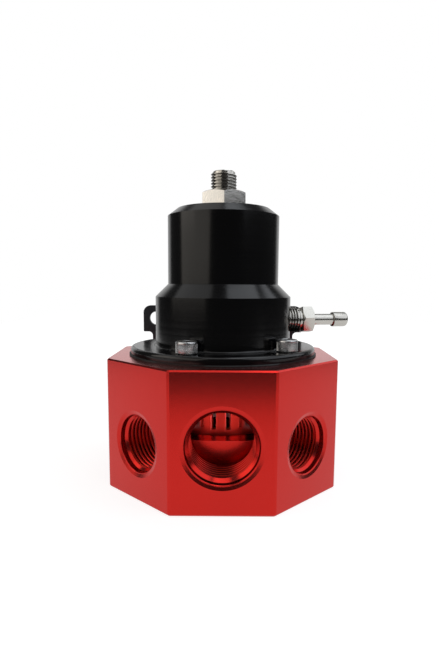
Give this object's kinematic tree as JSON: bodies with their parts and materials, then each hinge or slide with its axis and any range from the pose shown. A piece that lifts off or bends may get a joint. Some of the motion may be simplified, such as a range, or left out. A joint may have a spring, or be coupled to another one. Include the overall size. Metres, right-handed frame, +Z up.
{
  "type": "fuel pressure regulator",
  "caption": "Eight-sided fuel manifold block with screwed ports, a turned spring cover, a threaded adjusting stud, a barbed hose fitting and a flat mounting bracket.",
  "frame": {"origin": "centre of the block's base face, on the stem's axis", "axes": "+Z up along the stem, -Y out of the front port, +X towards the hose fitting's side"},
  "size_m": [0.106, 0.0982, 0.1331],
  "materials": {
    "red_anodised": "satin anodised",
    "black_anodised": "gloss anodised",
    "plain_aluminium": "turned",
    "stainless_steel": "turned",
    "zinc_steel": "bright zinc plated",
    "black_steel": "black coated",
    "spring_steel": "oiled",
    "ball_steel": "polished",
    "seat_brass": "turned",
    "black_rubber": "moulded"
  },
  "bodies": {
    "housing": {"manifold_body": "red_anodised", "valve_cage": "red_anodised", "valve_seat": "seat_brass", "seat_o_ring": "black_rubber", "diaphragm": "black_rubber", "control_spring": "spring_steel", "cover": "black_anodised", "boost_fitting": "stainless_steel", "cover_screw_1": "stainless_steel", "cover_screw_2": "stainless_steel", "cover_screw_3": "stainless_steel", "cover_screw_4": "stainless_steel", "mounting_bracket": "black_steel", "bracket_screw_1": "black_steel", "bracket_screw_2": "black_steel"},
    "valve": {"valve_holder": "plain_aluminium", "valve_ball": "ball_steel", "diaphragm_plate": "plain_aluminium", "diaphragm_nut": "zinc_steel"},
    "spring_cup": {"spring_seat": "zinc_steel"},
    "adjuster": {"adjusting_screw": "stainless_steel"},
    "lock_nut": {"jam_nut": "zinc_steel"}
  },
  "joints": [
    {"name": "valve_lift", "type": "slide", "parent": "housing", "child": "valve", "axis": [0, 0, 1], "range_m": [0, 0.0012], "deforming": ["diaphragm", "control_spring"]},
    {"name": "screw_feed", "type": "slide", "parent": "housing", "child": "spring_cup", "axis": [0, 0, -1], "range_m": [-0.00254, 0.00635], "deforming": ["control_spring"]},
    {"name": "pressure_adjust", "type": "hinge", "parent": "spring_cup", "child": "adjuster", "pos_m": [0, 0, 0.1173], "axis": [0, 0, -1], "range_deg": [-720, 1800]},
    {"name": "lock_nut_turn", "type": "hinge", "parent": "housing", "child": "lock_nut", "pos_m": [0, 0, 0.1173], "axis": [0, 0, 1], "range_deg": [0, 360]}
  ],
  "couplings": [
    {"joint": "pressure_adjust", "follows": "screw_feed", "rad_per_m": 4947.4}
  ]
}
